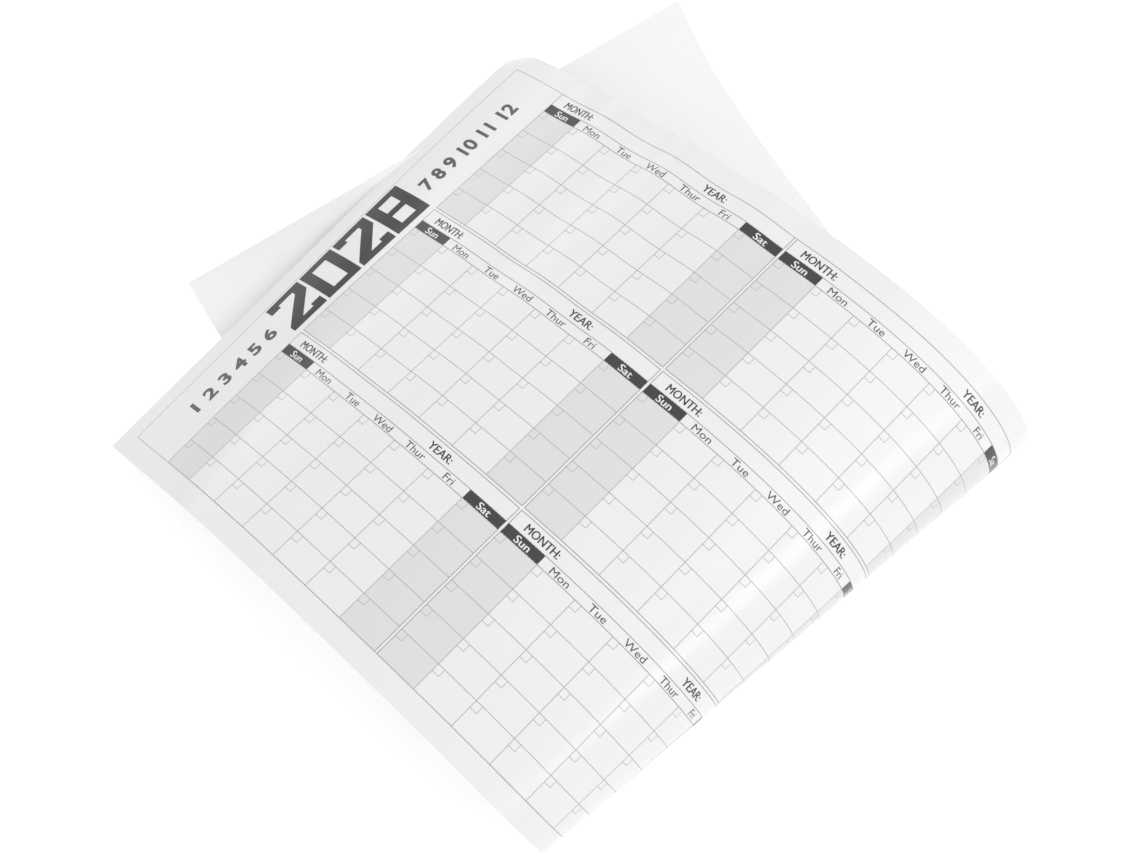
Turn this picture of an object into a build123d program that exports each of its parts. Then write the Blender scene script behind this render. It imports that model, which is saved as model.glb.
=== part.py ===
from build123d import *
from itertools import pairwise
from typing import NamedTuple
import math
import os

# A wide year planner sheet that lies on its printed side and is folded back over itself.
# Along runs from the printed end that lies free on top to the blank end on the table,
# across runs from the lower long edge to the upper one, and lengths are in millimetres.

# Sheet before it is bent
sheet_width = 381
sheet_thickness = 0.3

# Every bend turns the sheet towards its blank side, about straight lines across it.
# Its middle and reach are places along the sheet, its angle is the whole turn in degrees,
# and its lean is how much further along a line lies at the upper edge than at the lower one.

# Curl at the free end
end_curl_middle = 50
end_curl_reach = 60
end_curl_angle = 15
end_curl_lean_place = 55
end_curl_lean = -110

# Low arch of the layer on top
arch_middle = 205
arch_reach = 140
arch_angle = 16
arch_lean = 65

# Shoulder where the top layer runs into the fold
shoulder_middle = 380
shoulder_reach = 130
shoulder_angle = 47
shoulder_lean = 35

# Soft fold, down to the stretch that lies flat
fold_middle = 480
fold_reach = 135
fold_angle = 142
fold_lean = 45
fold_foot_lean = 80

# Stretch that lies flat on the table
flat_length = 179

# Blank end, which lifts off the table
blank_lift_reach = 120
blank_lift_angle = 97
blank_lift_lean = -110

# Dog-eared corner of the free end at the upper edge, rolled towards the blank side
corner_along = 31
corner_across = 19
corner_radius = 20

# Shallow ripples that run down from the upper edge of the layer on top
ripple_start = 20
ripple_end = 320
ripple_crest = 138
ripple_pitch = 68
ripple_height = 1.7
ripple_depth = 420

# Fineness of the modelled surface
crease_pitch = 2
spans_on_top = 50
span_crowding = 1.2
bands_on_top = 16
pieces_in_fold = 12
pieces_in_lift = 6
spans_in_piece = 4


class Bend(NamedTuple):
    """A stretch that turns towards the blank side, strongest at its middle."""

    middle: float
    reach: float
    angle: float

    def rate(self, along):
        """Turn in degrees for each millimetre, at a place along the sheet."""
        away = abs(along - self.middle) / self.reach
        if away >= 1:
            return 0
        return self.angle / self.reach * (1 + math.cos(math.pi * away)) / 2


fold_foot = fold_middle + fold_reach
blank_lift_foot = fold_foot + flat_length
sheet_length = blank_lift_foot + blank_lift_reach

bends = [
    Bend(end_curl_middle, end_curl_reach, end_curl_angle),
    Bend(arch_middle, arch_reach, arch_angle),
    Bend(shoulder_middle, shoulder_reach, shoulder_angle),
    Bend(fold_middle, fold_reach, fold_angle),
    Bend(sheet_length, blank_lift_reach, blank_lift_angle),
]

leans = [
    (end_curl_lean_place, end_curl_lean),
    (arch_middle, arch_lean),
    (shoulder_middle, shoulder_lean),
    (fold_middle, fold_lean),
    (fold_foot, fold_foot_lean),
    (blank_lift_foot, blank_lift_lean),
    (sheet_length, 0),
]


def between(low, high, share):
    """Value a given share of the way from low to high."""
    return low + (high - low) * share


def lean_at(along):
    """Lean of the bend line at a place along the sheet, even between the named places."""
    if along < end_curl_lean_place:
        return end_curl_lean
    for (place, lean), (next_place, next_lean) in pairwise(leans):
        if along <= next_place:
            return between(lean, next_lean, (along - place) / (next_place - place))
    return 0


class Crease(NamedTuple):
    """A straight line across the sheet, by where it meets the lower and the upper long edge."""

    low: float
    high: float

    @classmethod
    def leaning(cls, along, lean):
        """The line through a place in the middle of the sheet's width, with a given lean."""
        return cls(along - lean / 2, along + lean / 2)

    def along(self, across):
        """Place along the sheet where the line crosses a given height."""
        return between(self.low, self.high, across / sheet_width)

    def fold(self, turn):
        """Turn about this line that lifts what lies on its free side."""
        foot = Vector(sheet_length - self.low, 0)
        head = Vector(sheet_length - self.high, sheet_width)
        hinge = Plane(origin=foot, x_dir=foot - head, z_dir=(0, 0, 1)).location
        return hinge * Rot(X=turn) * hinge.inverse()


def crease_sheet():
    """Fine creases from the blank end to the free end, and where each strip between them goes."""
    run = sheet_length + abs(end_curl_lean) / 2
    count = round(run / crease_pitch)
    pitch = run / count
    resting = (fold_foot + blank_lift_foot) / 2
    creases = []
    strips = [Location()]
    rest = strips[0]
    for number in range(count):
        along = sheet_length - pitch * (number + 0.5)
        crease = Crease.leaning(along, lean_at(along))
        squareness = sheet_width / math.hypot(sheet_width, crease.high - crease.low)
        turn = sum(bend.rate(along) for bend in bends) * pitch * squareness
        creases.append(crease)
        strips.append(strips[-1] * crease.fold(turn))
        if along > resting:
            rest = strips[-1]
    return creases, [rest.inverse() * strip for strip in strips]


creases, strips = crease_sheet()


def ripple(along, across):
    """Height of the ripples, which fade out at both ends and towards the lower edge."""
    run = (along - ripple_start) / (ripple_end - ripple_start)
    drop = (sheet_width - across) / ripple_depth
    if not 0 < run < 1 or drop >= 1:
        return 0
    fade = math.sin(math.pi * run) * (1 - drop) ** 2
    return ripple_height * fade * math.cos(2 * math.pi * (along - ripple_crest) / ripple_pitch)


def sheet_point(along, across, offset):
    """Point of the bent sheet, offset from its middle plane towards the blank side."""
    slant = math.hypot(corner_along, corner_across)
    towards_end = corner_across / slant
    towards_top = corner_along / slant
    past = (corner_along - along) * towards_end - (sheet_width - across) * towards_top
    shift = 0
    lift = offset
    if past > 0:
        roll = past / corner_radius
        shift = (corner_radius - offset) * math.sin(roll) - past
        lift = corner_radius - (corner_radius - offset) * math.cos(roll)
    flat = Vector(
        sheet_length - along + shift * towards_end,
        across + shift * towards_top,
        lift + ripple(along, across),
    )
    passed = sum(crease.along(across) > along for crease in creases)
    return (strips[passed] * Pos(flat)).position


def section(place):
    """Line that the faces are built on: square at the free end, and with the bend lines from the arch on."""
    if place < arch_middle:
        return Crease.leaning(place, between(0, arch_lean, place / arch_middle))
    return Crease.leaning(place, lean_at(place))


def bent_face(start, stop, offset, spans, bands=1, crowding=1):
    """Face between two places along the sheet, lofted through curves that run along it."""
    shares = [(span / spans) ** crowding for span in range(spans + 1)]
    sections = [section(between(start, stop, share)) for share in shares]
    curves = []
    for band in range(bands + 1):
        across = sheet_width * band / bands
        points = [sheet_point(line.along(across), across, offset) for line in sections]
        curves.append(Wire([Edge.make_spline(points, parameters=shares)]))
    return Shell.make_loft(curves).face()


def bent_faces(start, stop, offset, pieces):
    """Faces of equal length between two places along the sheet, each straight across it."""
    places = [between(start, stop, piece / pieces) for piece in range(pieces + 1)]
    return [bent_face(near, far, offset, spans_in_piece) for near, far in pairwise(places)]


def flat_face(start, stop, offset):
    """Plane face between two places along the sheet, where it lies on the table."""
    near, far = section(start), section(stop)
    corners = [(near.low, 0), (far.low, 0), (far.high, sheet_width), (near.high, sheet_width)]
    points = [sheet_point(along, across, offset) for along, across in corners]
    return Face(Wire.make_polygon(points))


def skin(offset):
    """Faces on one side of the sheet, from the free end to the blank end."""
    return [
        bent_face(0, shoulder_middle, offset, spans_on_top, bands_on_top, span_crowding),
        *bent_faces(shoulder_middle, fold_foot, offset, pieces_in_fold),
        flat_face(fold_foot, blank_lift_foot, offset),
        *bent_faces(blank_lift_foot, sheet_length, offset, pieces_in_lift),
    ]


def gap_between(edge, other):
    """Distance between the middles of two edges."""
    return (edge @ 0.5 - other @ 0.5).length


def rim(faces):
    """Edges of a side that only one of its faces has, so they lie on the sheet's outline."""
    edges = [edge for face in faces for edge in face.edges()]
    return [edge for edge in edges if sum(gap_between(edge, other) < sheet_thickness for other in edges) == 1]


def edge_strips(one_side, other_side):
    """Narrow faces that close the sheet along its outline."""
    strips = []
    for edge in rim(one_side):
        partner = min(rim(other_side), key=lambda other: gap_between(edge, other))
        if (partner @ 0 - edge @ 0).length > (partner @ 1 - edge @ 0).length:
            partner = partner.reversed()
        strips.append(Face.make_surface_from_curves(edge, partner))
    return strips


def make_planner_sheet():
    """The folded sheet, standing on the middle of its bounding box."""
    blank_side = skin(sheet_thickness / 2)
    printed_side = skin(-sheet_thickness / 2)
    sheet = Solid(Shell([*blank_side, *printed_side, *edge_strips(blank_side, printed_side)]))
    box = sheet.bounding_box()
    return Pos(-box.center().X, -box.center().Y, -box.min.Z) * sheet


planner_sheet = make_planner_sheet()
planner_sheet.label = "planner_sheet"

os.makedirs("parts", exist_ok=True)
export_step(planner_sheet, "parts/planner_sheet.step")
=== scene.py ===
import logging
import math
from dataclasses import dataclass
from enum import Enum

import bmesh
import bpy
import numpy as np
from mathutils import Euler, Matrix, Vector


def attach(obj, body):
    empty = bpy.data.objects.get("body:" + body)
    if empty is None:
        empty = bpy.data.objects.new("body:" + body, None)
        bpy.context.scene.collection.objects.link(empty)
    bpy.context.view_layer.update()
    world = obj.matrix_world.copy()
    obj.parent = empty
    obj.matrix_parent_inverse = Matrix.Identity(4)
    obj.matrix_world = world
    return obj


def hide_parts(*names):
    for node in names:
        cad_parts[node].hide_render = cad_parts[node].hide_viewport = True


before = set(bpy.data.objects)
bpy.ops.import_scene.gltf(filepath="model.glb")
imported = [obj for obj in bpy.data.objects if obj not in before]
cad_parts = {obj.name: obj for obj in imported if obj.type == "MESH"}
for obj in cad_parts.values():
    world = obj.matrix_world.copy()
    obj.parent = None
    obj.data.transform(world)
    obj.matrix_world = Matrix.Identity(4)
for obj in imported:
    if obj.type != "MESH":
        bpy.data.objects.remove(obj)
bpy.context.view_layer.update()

MM = 0.001
BODY = "root"
CAD_SHEET = "planner_sheet"
FLAT_MAP = "flat_sheet"
WHITE = (1.0, 1.0, 1.0, 1.0)
PAPER_IOR = 1.5

# Numbers of the colour sockets of Blender's Mix node
FIRST_COLOUR, SECOND_COLOUR, MIXED_COLOUR = 6, 7, 2

# Built-in font: height of a capital as a share of its size, and steps in each of its curves
CAP_SHARE = 0.729
CURVE_STEPS = 3

# Distance at which the corners of a letter count as one, as a share of a capital's height
WELD = 0.001

# Step between the strikes of bold lettering, and how much higher each one lies, in millimetres
STRIKE_STEP = 0.28
STRIKE_LIFT = 0.004

log = logging.getLogger("wall_planner")


def srgb(code: str) -> tuple[float, float, float, float]:
    """Turns a hex colour into the linear colour that a socket takes.

    Args:
        code: sRGB colour as six hex digits.

    Returns:
        Linear red, green and blue, and an alpha of one.
    """
    shares = [int(code[start:start + 2], 16) / 255 for start in (0, 2, 4)]
    linear = [
        share / 12.92 if share <= 0.04045 else ((share + 0.055) / 1.055) ** 2.4
        for share in shares
    ]
    return (*linear, 1.0)


def add_node(tree: bpy.types.NodeTree, kind: str,
             links: dict[int | str, bpy.types.NodeSocket] | None = None,
             **settings: object) -> bpy.types.Node:
    """Adds one node, gives it its settings and links what feeds it.

    Args:
        tree: Node tree that takes the node.
        kind: Blender's name for the node type.
        links: Output sockets, by the name or number of the input that each one feeds.
        settings: Node properties, and input values by the input's name with underscores for spaces.

    Returns:
        The new node.
    """
    node = tree.nodes.new(kind)
    for name, value in settings.items():
        socket = node.inputs.get(name.replace("_", " "))
        if socket is None:
            setattr(node, name, value)
        else:
            socket.default_value = value
    for name, source in (links or {}).items():
        tree.links.new(source, node.inputs[name])
    return node


def start_material(name: str) -> bpy.types.Material:
    """Starts a material with an empty node tree.

    Args:
        name: Name of the finish.

    Returns:
        The new material.
    """
    material = bpy.data.materials.new(name)
    material.use_nodes = True
    material.node_tree.nodes.clear()
    return material


@dataclass(frozen=True)
class LaminatedPaper:
    """Coated poster paper, printed and laminated with a clear film.

    The film gives the eye a broad soft shine over paper and ink alike, uneven by a little from
    place to place, and what lies under it gives a neutral tone with faint clouds.
    """

    name: str
    colour: str
    cloud_colour: str
    roughness: float = 0.24
    roughness_spread: float = 0.04
    cloud_mm: float = 70.0
    mottle_mm: float = 2.5
    mottle_height_mm: float = 0.004

    def build(self) -> bpy.types.Material:
        """Builds the material on the sheet's own flat map.

        Returns:
            The finished material.
        """
        material = start_material(self.name)
        tree = material.node_tree
        place = {"Vector": add_node(tree, "ShaderNodeUVMap", uv_map=FLAT_MAP).outputs["UV"]}
        # Print and film run uneven over about a hand's width
        cloud = add_node(
            tree, "ShaderNodeTexNoise", place, Scale=1 / (self.cloud_mm * MM), Detail=3.0
        )
        colour = add_node(tree, "ShaderNodeMix", {0: cloud.outputs["Fac"]}, data_type="RGBA")
        colour.inputs[FIRST_COLOUR].default_value = srgb(self.colour)
        colour.inputs[SECOND_COLOUR].default_value = srgb(self.cloud_colour)
        # The film's mottle is about half a millimetre across, and is drawn coarser so that it shows
        mottle = add_node(
            tree, "ShaderNodeTexNoise", place, Scale=1 / (self.mottle_mm * MM), Detail=2.0
        )
        relief = add_node(
            tree,
            "ShaderNodeBump",
            {"Height": mottle.outputs["Fac"]},
            Distance=self.mottle_height_mm * MM,
        )
        roughness = add_node(
            tree,
            "ShaderNodeMapRange",
            {"Value": cloud.outputs["Fac"]},
            To_Min=self.roughness - self.roughness_spread,
            To_Max=self.roughness + self.roughness_spread,
        )
        shader = add_node(
            tree,
            "ShaderNodeBsdfPrincipled",
            {
                "Base Color": colour.outputs[MIXED_COLOUR],
                "Roughness": roughness.outputs["Result"],
                "Normal": relief.outputs["Normal"],
            },
            IOR=PAPER_IOR,
        )
        add_node(tree, "ShaderNodeOutputMaterial", {"Surface": shader.outputs["BSDF"]})
        return material


@dataclass(frozen=True)
class UncoatedPaper:
    """Bare wood-free paper, calendered and cut.

    It gives the eye a flat soft white with fine fibres and no shine.
    """

    name: str
    colour: str
    fibre_colour: str
    roughness: float = 0.75
    fibre_mm: float = 1.8
    fibre_height_mm: float = 0.01

    def build(self) -> bpy.types.Material:
        """Builds the material on the sheet's own flat map.

        Returns:
            The finished material.
        """
        material = start_material(self.name)
        tree = material.node_tree
        place = {"Vector": add_node(tree, "ShaderNodeUVMap", uv_map=FLAT_MAP).outputs["UV"]}
        # Fibres are a tenth of a millimetre thick, and their clumps are drawn coarser to show
        fibre = add_node(
            tree, "ShaderNodeTexNoise", place, Scale=1 / (self.fibre_mm * MM), Detail=4.0
        )
        colour = add_node(tree, "ShaderNodeMix", {0: fibre.outputs["Fac"]}, data_type="RGBA")
        colour.inputs[FIRST_COLOUR].default_value = srgb(self.colour)
        colour.inputs[SECOND_COLOUR].default_value = srgb(self.fibre_colour)
        relief = add_node(
            tree,
            "ShaderNodeBump",
            {"Height": fibre.outputs["Fac"]},
            Distance=self.fibre_height_mm * MM,
        )
        shader = add_node(
            tree,
            "ShaderNodeBsdfPrincipled",
            {"Base Color": colour.outputs[MIXED_COLOUR], "Normal": relief.outputs["Normal"]},
            Roughness=self.roughness,
            IOR=PAPER_IOR,
        )
        add_node(tree, "ShaderNodeOutputMaterial", {"Surface": shader.outputs["BSDF"]})
        return material


PRINTED_SIDE = LaminatedPaper("laminated_white_paper", "F2F2F2", "EEEEEE")
WEEKEND_TINT = LaminatedPaper("laminated_light_grey_tint", "E3E3E3", "E0E0E0")
HEADING_BLACK = LaminatedPaper("laminated_dark_grey_ink", "3A3A3A", "363636")
TITLE_BLACK = LaminatedPaper("laminated_black_ink", "2C2C2C", "282828")
TITLE_GREY = LaminatedPaper("laminated_title_grey_ink", "505050", "4C4C4C")
TEXT_GREY = LaminatedPaper("laminated_mid_grey_ink", "525252", "4E4E4E")
OUTLINE_GREY = LaminatedPaper("laminated_outline_grey_ink", "A0A0A0", "9C9C9C")
RULE_GREY = LaminatedPaper("laminated_rule_grey_ink", "B2B2B2", "AEAEAE")
PAPER_WHITE_LETTER = LaminatedPaper("laminated_white_letter", "F2F2F2", "EEEEEE")
BLANK_SIDE = UncoatedPaper("uncoated_white_back", "FDFDFD", "FAFAFA")
CUT_EDGE = UncoatedPaper("cut_paper_edge", "F0F0F0", "E6E6E6")


class Side(Enum):
    """The sides of the sheet, by the number of their material."""

    PRINTED = 0
    BLANK = 1
    CUT = 2


class PrintLayer(Enum):
    """The layers of print, by their height above the printed side, so that none flickers."""

    TINT = 0.03
    RULE = 0.05
    LETTER = 0.07


@dataclass(frozen=True)
class Bend:
    """A stretch of the sheet that turns towards its blank side, strongest at its middle."""

    middle: float
    reach: float
    angle: float

    def rate(self, along: float) -> float:
        """Gives the turn in degrees for each millimetre at a place along the sheet."""
        away = min(abs(along - self.middle) / self.reach, 1.0)
        return self.angle / self.reach * (1 + math.cos(math.pi * away)) / 2


@dataclass
class FoldedSheet:
    """The flat sheet and the way it folds, the same as the CAD solid's, in millimetres.

    Along runs from the printed end that lies free on top to the blank end on the table, across
    runs from the lower long edge to the upper one, and height is counted out of the printed side.
    """

    width: float = 381.0
    thickness: float = 0.3
    end_curl: Bend = Bend(50.0, 60.0, 15.0)
    end_curl_lean_place: float = 55.0
    end_curl_lean: float = -110.0
    arch: Bend = Bend(205.0, 140.0, 16.0)
    arch_lean: float = 65.0
    shoulder: Bend = Bend(380.0, 130.0, 47.0)
    shoulder_lean: float = 35.0
    fold: Bend = Bend(480.0, 135.0, 142.0)
    fold_lean: float = 45.0
    fold_foot_lean: float = 80.0
    flat_length: float = 179.0
    blank_lift_reach: float = 120.0
    blank_lift_angle: float = 97.0
    blank_lift_lean: float = -110.0
    corner_along: float = 31.0
    corner_across: float = 19.0
    corner_radius: float = 20.0
    ripple_start: float = 20.0
    ripple_end: float = 320.0
    ripple_crest: float = 138.0
    ripple_pitch: float = 68.0
    ripple_height: float = 1.7
    ripple_depth: float = 420.0
    crease_pitch: float = 0.5
    box_points_along: int = 458
    box_points_across: int = 39
    points_at_once: int = 4000

    def __post_init__(self) -> None:
        """Works out the creases and where each strip between them goes."""
        self.fold_foot = self.fold.middle + self.fold.reach
        self.lift_foot = self.fold_foot + self.flat_length
        self.length = self.lift_foot + self.blank_lift_reach
        self.shift = np.zeros(3)
        self.lay_creases()
        self.stand_on_box()

    def lean_at(self, along: float) -> float:
        """Gives how much further along a bend line lies at the upper edge than at the lower one.

        Args:
            along: Place of the bend line along the sheet.

        Returns:
            The lean, even between the named places.
        """
        leans = {
            self.end_curl_lean_place: self.end_curl_lean,
            self.arch.middle: self.arch_lean,
            self.shoulder.middle: self.shoulder_lean,
            self.fold.middle: self.fold_lean,
            self.fold_foot: self.fold_foot_lean,
            self.lift_foot: self.blank_lift_lean,
            self.length: 0.0,
        }
        return float(np.interp(along, list(leans), list(leans.values())))

    def lay_creases(self) -> None:
        """Folds the sheet about fine creases, from the blank end to the free end."""
        bends = [
            self.end_curl, self.arch, self.shoulder, self.fold,
            Bend(self.length, self.blank_lift_reach, self.blank_lift_angle),
        ]
        run = self.length + abs(self.end_curl_lean) / 2
        count = round(run / self.crease_pitch)
        pitch = run / count
        resting = (self.fold_foot + self.lift_foot) / 2
        lows, highs, strips = [], [], [Matrix.Identity(4)]
        rest = strips[0]
        for number in range(count):
            along = self.length - pitch * (number + 0.5)
            lean = self.lean_at(along)
            foot = Vector((self.length - along + lean / 2, 0.0, 0.0))
            head = Vector((self.length - along - lean / 2, self.width, 0.0))
            turn = math.radians(sum(bend.rate(along) for bend in bends))
            turn = turn * pitch * self.width / (head - foot).length
            hinge = Matrix.Rotation(turn, 4, foot - head)
            hinge = Matrix.Translation(foot) @ hinge @ Matrix.Translation(-foot)
            strips.append(strips[-1] @ hinge)
            lows.append(along - lean / 2)
            highs.append(along + lean / 2)
            if along > resting:
                rest = strips[-1]
        level = rest.inverted()
        self.lows = np.array(lows)
        self.highs = np.array(highs)
        self.strips = np.array([level @ strip for strip in strips])

    def ripple(self, along: np.ndarray, across: np.ndarray) -> np.ndarray:
        """Gives the lift of the shallow ripples that run down from the upper edge.

        Args:
            along: Places along the sheet.
            across: Places across it.

        Returns:
            Lift at each place, towards the blank side.
        """
        run = np.clip((along - self.ripple_start) / (self.ripple_end - self.ripple_start), 0, 1)
        drop = np.clip((self.width - across) / self.ripple_depth, 0, 1)
        waves = np.cos(2 * math.pi * (along - self.ripple_crest) / self.ripple_pitch)
        return self.ripple_height * np.sin(math.pi * run) * (1 - drop) ** 2 * waves

    def bend(self, flat: np.ndarray) -> np.ndarray:
        """Takes points of the flat sheet to where they lie on the folded one.

        Args:
            flat: Rows of along, across and height, in millimetres.

        Returns:
            Rows of x, y and z in the frame, in millimetres.
        """
        along, across, height = flat.T
        slant = math.hypot(self.corner_along, self.corner_across)
        end_share, top_share = self.corner_across / slant, self.corner_along / slant
        past = (self.corner_along - along) * end_share - (self.width - across) * top_share
        past = np.maximum(past, 0)
        roll = past / self.corner_radius
        arm = self.corner_radius + height
        slide = arm * np.sin(roll) - past
        lift = self.corner_radius - arm * np.cos(roll) + self.ripple(along, across)
        rows = np.stack(
            [
                self.length - along + slide * end_share,
                across + slide * top_share,
                lift,
                np.ones_like(along),
            ],
            1,
        )
        placed = np.empty((len(flat), 3))
        for start in range(0, len(flat), self.points_at_once):
            part = slice(start, start + self.points_at_once)
            crossings = self.lows + (self.highs - self.lows) * across[part, None] / self.width
            passed = np.count_nonzero(crossings > along[part, None], axis=1)
            placed[part] = np.einsum("nij,nj->ni", self.strips[passed], rows[part])[:, :3]
        return placed + self.shift

    def stand_on_box(self) -> None:
        """Puts the frame's origin in the middle of the underside of the folded sheet's box."""
        grid = np.meshgrid(
            np.linspace(0, self.length, self.box_points_along),
            np.linspace(0, self.width, self.box_points_across),
            (-self.thickness / 2, self.thickness / 2),
        )
        points = self.bend(np.stack([part.ravel() for part in grid], 1))
        low, high = points.min(0), points.max(0)
        self.shift = -np.array([(low[0] + high[0]) / 2, (low[1] + high[1]) / 2, low[2]])


@dataclass(frozen=True)
class Patch:
    """A rectangle of the flat sheet, by its ends along and across, in millimetres."""

    start: float
    low: float
    stop: float
    high: float


@dataclass(frozen=True)
class LetterStyle:
    """How a run of lettering is set.

    Cap is the height of a capital, spread the width as a share of the font's own, and stroke the
    extra weight as a share of the capital's height. Strikes counts how often the text is struck,
    each time a little further on, and turned text reads across, its tops towards the free end.
    """

    cap: float
    spread: float = 1.0
    stroke: float = 0.0
    strikes: int = 1
    turned: bool = False


class FlatMesh:
    """Mesh of one kind of print or paper, laid out on the flat sheet and then folded with it."""

    pitch_along: float = 2.5
    pitch_across: float = 7.0

    def __init__(self, sheet: FoldedSheet) -> None:
        """Starts an empty mesh for a sheet."""
        self.sheet = sheet
        self.bm = bmesh.new()

    def add_patch(self, patch: Patch) -> None:
        """Adds a rectangle with enough spans to follow the folds.

        Args:
            patch: Rectangle of the flat sheet.
        """
        size = Vector((patch.stop - patch.start, patch.high - patch.low, 1.0))
        middle = Vector(((patch.start + patch.stop) / 2, (patch.low + patch.high) / 2, 0.0))
        bmesh.ops.create_grid(
            self.bm,
            x_segments=max(1, math.ceil(size.x / self.pitch_along)),
            y_segments=max(1, math.ceil(size.y / self.pitch_across)),
            size=0.5,
            matrix=Matrix.Translation(middle) @ Matrix.Diagonal((*size, 1.0)),
        )

    def add_rule(self, start: tuple[float, float], stop: tuple[float, float],
                 weight: float) -> None:
        """Adds a printed line along or across the sheet.

        Args:
            start: Along and across of the line's first end.
            stop: Along and across of its other end.
            weight: Width of the line.
        """
        half = weight / 2
        self.add_patch(Patch(start[0] - half, start[1] - half, stop[0] + half, stop[1] + half))

    def add_frame(self, patch: Patch, weight: float) -> None:
        """Adds the outline of a rectangle as four printed lines.

        Args:
            patch: Rectangle that the lines run round.
            weight: Width of the lines.
        """
        for level in (patch.low, patch.high):
            self.add_rule((patch.start, level), (patch.stop, level), weight)
        for place in (patch.start, patch.stop):
            self.add_rule((place, patch.low + weight), (place, patch.high - weight), weight)

    def add_text(self, text: str, place: tuple[float, float], style: LetterStyle) -> None:
        """Adds generic lettering, centred on a place and cut fine enough to follow the folds.

        Args:
            text: Letters or numbers.
            place: Along and across of the middle of the text's base line.
            style: How the text is set.
        """
        font = bpy.data.curves.new("lettering", "FONT")
        font.body = text
        font.size = 1 / CAP_SHARE
        font.offset = style.stroke
        font.align_x = "CENTER"
        font.resolution_u = CURVE_STEPS
        holder = bpy.data.objects.new("lettering", font)
        mesh = bpy.data.meshes.new_from_object(holder)
        quarter = Matrix.Rotation(math.pi / 2 if style.turned else 0.0, 4, "Z")
        scale = Matrix.Diagonal((style.cap * style.spread, style.cap, 1.0, 1.0))
        for strike in range(style.strikes):
            letters = bmesh.new()
            letters.from_mesh(mesh)
            bmesh.ops.remove_doubles(letters, verts=letters.verts, dist=WELD)
            step = (strike - (style.strikes - 1) / 2) * STRIKE_STEP
            aside = Matrix.Translation((step, 0.0, strike * STRIKE_LIFT))
            matrix = Matrix.Translation((*place, 0.0)) @ quarter @ aside @ scale
            bmesh.ops.transform(letters, matrix=matrix, verts=letters.verts)
            self.add_shape(letters)
        bpy.data.objects.remove(holder)
        bpy.data.curves.remove(font)
        bpy.data.meshes.remove(mesh)

    def add_outline(self, corners: list[tuple[float, float]]) -> None:
        """Adds a flat shape with straight sides.

        Args:
            corners: Along and across of each corner, in order.
        """
        shape = bmesh.new()
        shape.faces.new([shape.verts.new((*corner, 0.0)) for corner in corners])
        bmesh.ops.triangulate(shape, faces=shape.faces)
        bmesh.ops.recalc_face_normals(shape, faces=shape.faces)
        if shape.faces[:][0].normal.z < 0:
            bmesh.ops.reverse_faces(shape, faces=shape.faces)
        self.add_shape(shape)

    def add_shape(self, shape: bmesh.types.BMesh) -> None:
        """Cuts a flat shape fine enough to follow the folds, adds it and frees it.

        Args:
            shape: Flat mesh in along and across.
        """
        self.cut(shape, 0, self.pitch_along)
        self.cut(shape, 1, self.pitch_across)
        mesh = bpy.data.meshes.new("shape")
        shape.to_mesh(mesh)
        shape.free()
        self.bm.from_mesh(mesh)
        bpy.data.meshes.remove(mesh)

    @staticmethod
    def cut(shape: bmesh.types.BMesh, axis: int, pitch: float) -> None:
        """Cuts a flat mesh into bands.

        Args:
            shape: Mesh to cut.
            axis: Number of the axis that the cuts are square to.
            pitch: Width of a band.
        """
        places = [vert.co[axis] for vert in shape.verts]
        if not places:
            return
        normal = Vector((0.0, 0.0, 0.0))
        normal[axis] = 1.0
        first, last = math.ceil(min(places) / pitch), math.floor(max(places) / pitch)
        for step in range(first, last + 1):
            bmesh.ops.bisect_plane(
                shape,
                geom=[*shape.verts, *shape.edges, *shape.faces],
                plane_co=normal * step * pitch,
                plane_no=normal,
            )

    def finish(self, name: str, materials: list[bpy.types.Material],
               height: float) -> bpy.types.Object:
        """Folds the flat mesh with the sheet and makes it a piece that rides on the part.

        Args:
            name: Name of the piece.
            materials: Materials by their index.
            height: How far the flat mesh stands out of the middle of the sheet's thickness.

        Returns:
            The new object.
        """
        layer = self.bm.loops.layers.uv.new(FLAT_MAP)
        for face in self.bm.faces:
            face.smooth = True
            for loop in face.loops:
                loop[layer].uv = loop.vert.co.xy * MM
        flat = np.array([vert.co for vert in self.bm.verts])
        flat[:, 2] += height
        for vert, place in zip(self.bm.verts, self.sheet.bend(flat) * MM):
            vert.co = place
        mesh = bpy.data.meshes.new(name)
        self.bm.to_mesh(mesh)
        self.bm.free()
        for material in materials:
            mesh.materials.append(material)
        piece = bpy.data.objects.new(name, mesh)
        bpy.context.scene.collection.objects.link(piece)
        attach(piece, BODY)
        return piece


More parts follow.
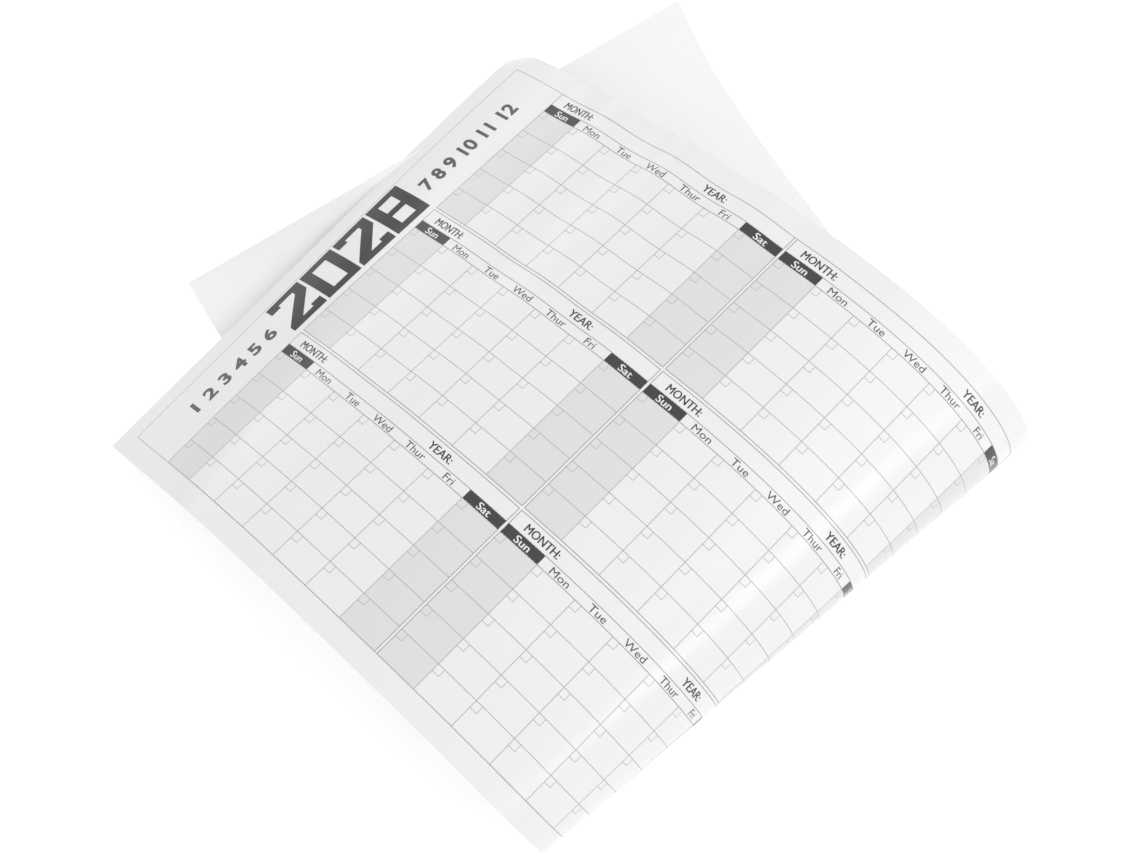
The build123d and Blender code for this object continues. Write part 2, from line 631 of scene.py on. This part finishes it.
@dataclass
class PaperSheet:
    """The bare sheet: printed side, blank side and cut edge.

    A face whose normal stands up by less than the cut limit belongs to the cut edge.
    """

    sheet: FoldedSheet
    cut_limit: float = 0.5

    def side_of(self, face: bmesh.types.BMFace) -> Side:
        """Tells which side of the flat slab a face lies on.

        Args:
            face: Face of the slab before it is folded.

        Returns:
            The side of the sheet.
        """
        if abs(face.normal.z) < self.cut_limit:
            return Side.CUT
        return Side.PRINTED if face.normal.z > 0 else Side.BLANK

    def build(self) -> bpy.types.Object:
        """Builds the sheet at its real thickness, in place of the CAD solid.

        Returns:
            The paper sheet.
        """
        flat = FlatMesh(self.sheet)
        flat.add_patch(Patch(0.0, 0.0, self.sheet.length, self.sheet.width))
        bm = flat.bm
        bmesh.ops.translate(bm, vec=(0.0, 0.0, self.sheet.thickness / 2), verts=bm.verts)
        bmesh.ops.solidify(bm, geom=bm.faces[:], thickness=self.sheet.thickness)
        bm.normal_update()
        for face in bm.faces:
            face.material_index = self.side_of(face).value
        for edge in bm.edges:
            edge.smooth = len({face.material_index for face in edge.link_faces}) == 1
        finishes = {Side.PRINTED: PRINTED_SIDE, Side.BLANK: BLANK_SIDE, Side.CUT: CUT_EDGE}
        piece = flat.finish("printed_sheet", [finishes[side].build() for side in Side], 0.0)
        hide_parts(CAD_SHEET)
        return piece


@dataclass(frozen=True)
class MonthBlock:
    """One month of the planner, by the corner where its day grid starts."""

    left: float
    base: float


@dataclass(frozen=True)
class Label:
    """A run of generic lettering, by the place of its middle and its width."""

    text: str
    middle: float
    spread: float


@dataclass
class PlannerPrint:
    """The print of the planner: twelve month blocks, a thin border and a title band.

    The middles of the field labels are counted in columns of their block, and those of the title
    numbers in millimetres across the sheet.
    """

    sheet: FoldedSheet
    margin: float = 14.7
    title_edge: float = 62.4
    columns: int = 4
    rows: int = 3
    weekdays: int = 7
    weeks: int = 5
    cell_along: float = 29.7
    cell_across: float = 19.64
    block_gap: float = 2.0
    names_row: float = 6.95
    fields_row: float = 10.6
    corner_box: float = 5.1
    outline_rule: float = 0.48
    grid_rule: float = 0.42
    date_rule: float = 0.32
    weekday_names: tuple[str, ...] = ("Sun", "Mon", "Tue", "Wed", "Thur", "Fri", "Sat")
    name_style: LetterStyle = LetterStyle(5.0, spread=1.2)
    weekend_name_style: LetterStyle = LetterStyle(5.0, spread=1.2, strikes=2)
    fields: tuple[Label, ...] = (Label("MONTH:", 0.755, 0.9), Label("YEAR:", 4.95, 0.98))
    field_cap: float = 5.6
    field_strikes: int = 2
    year: str = "2028"
    numeral_height: float = 40.2
    numeral_width: float = 28.4
    numeral_stem: float = 8.0
    numeral_bar: float = 5.7
    numeral_gap: float = 2.2
    numeral_start: float = 128.9
    numeral_base: float = 5.5
    numeral_hook: float = 3.4
    numeral_neck: float = 3.2
    numeral_bend_share: float = 0.66
    numeral_bend_weight: float = 4.0
    month_numbers: tuple[Label, ...] = (
        Label("1 2 3 4 5 6", 84.7, 1.0), Label("7 8 9 10 11 12", 298.7, 0.84),
    )
    side_cap: float = 12.4
    side_base: float = 17.0
    side_stroke: float = 0.045

    def __post_init__(self) -> None:
        """Works out where the month blocks lie."""
        self.block_along = self.weekdays * self.cell_along
        self.block_pitch = self.block_along + self.block_gap
        self.grid_height = self.weeks * self.cell_across
        self.block_height = self.grid_height + self.names_row + self.fields_row
        self.row_pitch = (self.weeks + 1) * self.cell_across
        self.blocks = [
            MonthBlock(
                self.title_edge + column * self.block_pitch, self.margin + row * self.row_pitch
            )
            for column in range(self.columns)
            for row in range(self.rows)
        ]

    def is_weekend(self, day: int) -> bool:
        """Tells whether a column is the first or the last of its week."""
        return day in (0, self.weekdays - 1)

    def height_of(self, layer: PrintLayer) -> float:
        """Gives how far a layer of print stands out of the middle of the sheet's thickness."""
        return self.sheet.thickness / 2 + layer.value

    def add_weekend_fields(self, flat: FlatMesh, low: float, height: float) -> None:
        """Adds a rectangle to each weekend column of each month.

        Args:
            flat: Mesh that takes the rectangles.
            low: Foot of the rectangles above the foot of their block.
            height: Their height.
        """
        for block in self.blocks:
            foot = block.base + low
            for day in filter(self.is_weekend, range(self.weekdays)):
                left = block.left + day * self.cell_along
                flat.add_patch(Patch(left, foot, left + self.cell_along, foot + height))

    def build_tints(self) -> bpy.types.Object:
        """Builds the light grey fields of the weekend columns.

        Returns:
            The tints.
        """
        flat = FlatMesh(self.sheet)
        self.add_weekend_fields(flat, 0.0, self.grid_height)
        return flat.finish(
            "weekend_tints", [WEEKEND_TINT.build()], self.height_of(PrintLayer.TINT)
        )

    def build_heading_boxes(self) -> bpy.types.Object:
        """Builds the dark boxes behind the names of the weekend days.

        Returns:
            The boxes.
        """
        flat = FlatMesh(self.sheet)
        self.add_weekend_fields(flat, self.grid_height, self.names_row)
        return flat.finish(
            "weekend_heading_boxes", [HEADING_BLACK.build()], self.height_of(PrintLayer.RULE)
        )

    def build_rules(self) -> list[bpy.types.Object]:
        """Builds the fine lines of the day grids and the border, and the stronger outlines.

        Returns:
            The grid with its border, and the outlines of the blocks.
        """
        fine, strong = FlatMesh(self.sheet), FlatMesh(self.sheet)
        border_right = self.title_edge + self.columns * self.block_pitch - self.block_gap
        border_top = self.margin + (self.rows - 1) * self.row_pitch + self.block_height
        border = Patch(self.margin, self.margin, border_right, border_top)
        fine.add_frame(border, self.grid_rule)
        for block in self.blocks:
            left, low = block.left, block.base
            right, high = left + self.block_along, low + self.block_height
            strong.add_frame(Patch(left, low, right, high), self.outline_rule)
            for week in range(1, self.weeks):
                level = low + week * self.cell_across
                fine.add_rule((left, level), (right, level), self.grid_rule)
            for level in (low + self.grid_height, low + self.grid_height + self.names_row):
                strong.add_rule((left, level), (right, level), self.outline_rule)
            for day in range(1, self.weekdays):
                place = left + day * self.cell_along
                fine.add_rule((place, low), (place, low + self.grid_height), self.grid_rule)
        height = self.height_of(PrintLayer.RULE)
        return [
            fine.finish("grid_rules", [RULE_GREY.build()], height),
            strong.finish("block_outlines", [OUTLINE_GREY.build()], height),
        ]

    def build_corner_boxes(self) -> bpy.types.Object:
        """Builds the small date box in the corner of every day.

        Returns:
            The date boxes.
        """
        flat = FlatMesh(self.sheet)
        for block in self.blocks:
            for day in range(self.weekdays):
                left = block.left + day * self.cell_along
                for week in range(1, self.weeks + 1):
                    top = block.base + week * self.cell_across
                    side, foot = left + self.corner_box, top - self.corner_box
                    flat.add_rule((side, foot), (side, top), self.date_rule)
                    flat.add_rule((left, foot), (side, foot), self.date_rule)
        return flat.finish("date_boxes", [RULE_GREY.build()], self.height_of(PrintLayer.RULE))

    def build_names(self) -> list[bpy.types.Object]:
        """Builds the weekday names, white on the dark boxes and grey between them.

        Returns:
            The grey names and the white ones.
        """
        plain, light = FlatMesh(self.sheet), FlatMesh(self.sheet)
        for block in self.blocks:
            for day, name in enumerate(self.weekday_names):
                target, style = plain, self.name_style
                if self.is_weekend(day):
                    target, style = light, self.weekend_name_style
                middle = block.left + (day + 0.5) * self.cell_along
                base = block.base + self.grid_height + (self.names_row - style.cap) / 2
                target.add_text(name, (middle, base), style)
        height = self.height_of(PrintLayer.LETTER)
        return [
            plain.finish("weekday_names", [TEXT_GREY.build()], height),
            light.finish("weekend_names", [PAPER_WHITE_LETTER.build()], height),
        ]

    def build_fields(self) -> bpy.types.Object:
        """Builds the labels of the two fields that are filled in by hand.

        Returns:
            The labels.
        """
        flat = FlatMesh(self.sheet)
        for block in self.blocks:
            low = block.base + self.grid_height + self.names_row
            base = low + (self.fields_row - self.field_cap) / 2
            for label in self.fields:
                place = block.left + label.middle * self.cell_along
                style = LetterStyle(self.field_cap, label.spread, strikes=self.field_strikes)
                flat.add_text(label.text, (place, base), style)
        return flat.finish(
            "field_labels", [HEADING_BLACK.build()], self.height_of(PrintLayer.LETTER)
        )

    def build_title(self) -> list[bpy.types.Object]:
        """Builds the title band: a year in block numerals, and the months' numbers.

        Returns:
            The year and the months' numbers.
        """
        year, months = FlatMesh(self.sheet), FlatMesh(self.sheet)
        base = self.title_edge - self.numeral_base
        for place, numeral in enumerate(self.year):
            low = self.numeral_start + place * (self.numeral_width + self.numeral_gap)
            for corners in self.numeral(numeral):
                year.add_outline([(base - up, low + side) for side, up in corners])
        band = self.title_edge - self.side_base
        for label in self.month_numbers:
            style = LetterStyle(self.side_cap, label.spread, self.side_stroke, turned=True)
            months.add_text(label.text, (band, label.middle), style)
        height = self.height_of(PrintLayer.LETTER)
        return [
            year.finish("title_year", [TITLE_BLACK.build()], height),
            months.finish("title_month_numbers", [TITLE_GREY.build()], height),
        ]

    def numeral(self, numeral: str) -> list[list[tuple[float, float]]]:
        """Gives the shapes of one block numeral, from the left of its foot.

        Args:
            numeral: One of the numerals of the year: 0, 2 or 8.

        Returns:
            Corners of shapes that meet edge to edge, by side and height.
        """
        tall, wide = self.numeral_height, self.numeral_width
        stem, bar = self.numeral_stem, self.numeral_bar
        right, top = wide - stem, tall - bar
        if numeral == "2":
            hook, neck = bar + self.numeral_hook, stem + self.numeral_neck
            bend = tall * self.numeral_bend_share
            return [[
                (0, 0), (wide, 0), (wide, hook), (right, hook), (right, bar), (neck, bar),
                (wide, bend), (wide, tall), (0, tall), (0, tall - hook), (stem, tall - hook),
                (stem, top), (right, top), (right, bend + self.numeral_bend_weight), (0, bar),
            ]]
        shapes = [
            [(0, 0), (wide, 0), (wide, bar), (0, bar)],
            [(0, top), (wide, top), (wide, tall), (0, tall)],
            [(0, bar), (stem, bar), (stem, top), (0, top)],
            [(right, bar), (wide, bar), (wide, top), (right, top)],
        ]
        if numeral == "8":
            waist = (tall - bar) / 2
            shapes.append(
                [(stem, waist), (right, waist), (right, waist + bar), (stem, waist + bar)]
            )
        return shapes

    def build(self) -> list[bpy.types.Object]:
        """Builds the whole print.

        Returns:
            Its pieces.
        """
        return [
            self.build_tints(),
            self.build_heading_boxes(),
            *self.build_rules(),
            self.build_corner_boxes(),
            *self.build_names(),
            self.build_fields(),
            *self.build_title(),
        ]


@dataclass(frozen=True)
class Softbox:
    """A rectangular soft lamp that faces the part."""

    name: str
    place: tuple[float, float, float]
    size: tuple[float, float]
    power: float
    roll: float = 0.0

    def build(self, aim: tuple[float, float, float]) -> None:
        """Builds the lamp, turned to face a place.

        Args:
            aim: Place that the lamp faces.
        """
        lamp = bpy.data.lights.new(self.name, "AREA")
        lamp.shape = "RECTANGLE"
        lamp.size, lamp.size_y = self.size
        lamp.energy = self.power
        holder = bpy.data.objects.new(self.name, lamp)
        holder.location = self.place
        facing = (Vector(self.place) - Vector(aim)).to_track_quat("Z", "Y").to_matrix()
        roll = Matrix.Rotation(math.radians(self.roll), 3, "Z")
        holder.rotation_euler = (facing @ roll).to_euler()
        bpy.context.scene.collection.objects.link(holder)


@dataclass
class Studio:
    """Plain pale floor, soft lamps and the camera at the photograph's angle.

    Places and sizes are in metres, the camera's turn in degrees and its lens in millimetres.
    """

    floor_size: float = 12.0
    floor_colour: str = "F4F4F4"
    floor_glow: float = 0.42
    sky: float = 0.785
    camera_place: tuple[float, float, float] = (0.36728, -0.22048, 1.17567)
    camera_turn: tuple[float, float, float] = (20.1865, -0.2263, 57.367)
    lens: float = 61.23
    sensor: float = 36.0
    overhead: Softbox = Softbox("overhead_softbox", (0.6, 1.5, 2.2), (2.2, 2.2), 15.0)
    low_side: Softbox = Softbox("low_side_softbox", (-2.95, 0.35, 1.05), (2.4, 0.5), 5.0)
    strip: Softbox = Softbox("fold_strip_softbox", (1.6, 0.58, 1.28), (1.0, 0.3), 3.6, roll=24.0)
    aim: tuple[float, float, float] = (0.1, 0.03, 0.08)

    @staticmethod
    def add_seen(tree: bpy.types.NodeTree) -> bpy.types.NodeSocket:
        """Adds the nodes that tell a ray that is seen from one that only lights.

        Args:
            tree: Node tree that takes the nodes.

        Returns:
            Socket that is one for camera, glossy and transmission rays.
        """
        path = add_node(tree, "ShaderNodeLightPath")
        seen = path.outputs["Is Camera Ray"]
        for kind in ("Is Glossy Ray", "Is Transmission Ray"):
            links = {0: seen, 1: path.outputs[kind]}
            seen = add_node(tree, "ShaderNodeMath", links, operation="MAXIMUM").outputs[0]
        return seen

    def build_floor(self) -> None:
        """Builds the floor, which shows white to the camera and still takes the shadow."""
        bm = bmesh.new()
        bmesh.ops.create_grid(bm, x_segments=1, y_segments=1, size=self.floor_size / 2)
        mesh = bpy.data.meshes.new("studio_floor")
        bm.to_mesh(mesh)
        bm.free()
        material = start_material("painted_white_floor")
        tree = material.node_tree
        paint = add_node(tree, "ShaderNodeBsdfDiffuse", Color=srgb(self.floor_colour))
        level = add_node(
            tree, "ShaderNodeMath", {0: self.add_seen(tree)}, operation="MULTIPLY"
        )
        level.inputs[1].default_value = self.floor_glow
        glow = add_node(tree, "ShaderNodeEmission", {"Strength": level.outputs[0]})
        both = add_node(tree, "ShaderNodeAddShader", {0: paint.outputs[0], 1: glow.outputs[0]})
        add_node(tree, "ShaderNodeOutputMaterial", {"Surface": both.outputs[0]})
        mesh.materials.append(material)
        floor = bpy.data.objects.new("studio_floor", mesh)
        bpy.context.scene.collection.objects.link(floor)

    def build_lamps(self) -> None:
        """Builds the even sky, which is white where it is seen, and the softboxes."""
        world = bpy.data.worlds.new("studio_sky")
        world.use_nodes = True
        tree = world.node_tree
        tree.nodes.clear()
        level = add_node(
            tree,
            "ShaderNodeMapRange",
            {"Value": self.add_seen(tree)},
            To_Min=self.sky,
            To_Max=1.0,
        )
        sky = add_node(
            tree, "ShaderNodeBackground", {"Strength": level.outputs["Result"]}, Color=WHITE
        )
        add_node(tree, "ShaderNodeOutputWorld", {"Surface": sky.outputs[0]})
        bpy.context.scene.world = world
        for softbox in (self.overhead, self.low_side, self.strip):
            softbox.build(self.aim)

    def build_camera(self) -> None:
        """Builds the camera at the photograph's place, turn and lens."""
        camera = bpy.data.cameras.new("photo_camera")
        camera.sensor_width = self.sensor
        camera.lens = self.lens
        holder = bpy.data.objects.new("photo_camera", camera)
        holder.location = self.camera_place
        holder.rotation_euler = Euler([math.radians(turn) for turn in self.camera_turn])
        bpy.context.scene.collection.objects.link(holder)
        bpy.context.scene.camera = holder

    def build(self) -> None:
        """Builds the studio."""
        self.build_floor()
        self.build_lamps()
        self.build_camera()
        bpy.context.scene.view_settings.view_transform = "Standard"


def main() -> None:
    """Builds the sheet, its print and the studio in order, and reports each piece."""
    logging.basicConfig(level=logging.INFO)
    sheet = FoldedSheet()
    for piece in (PaperSheet(sheet).build(), *PlannerPrint(sheet).build()):
        log.info("%s: %d faces", piece.name, len(piece.data.polygons))
    Studio().build()


if __name__ == "__main__":
    main()
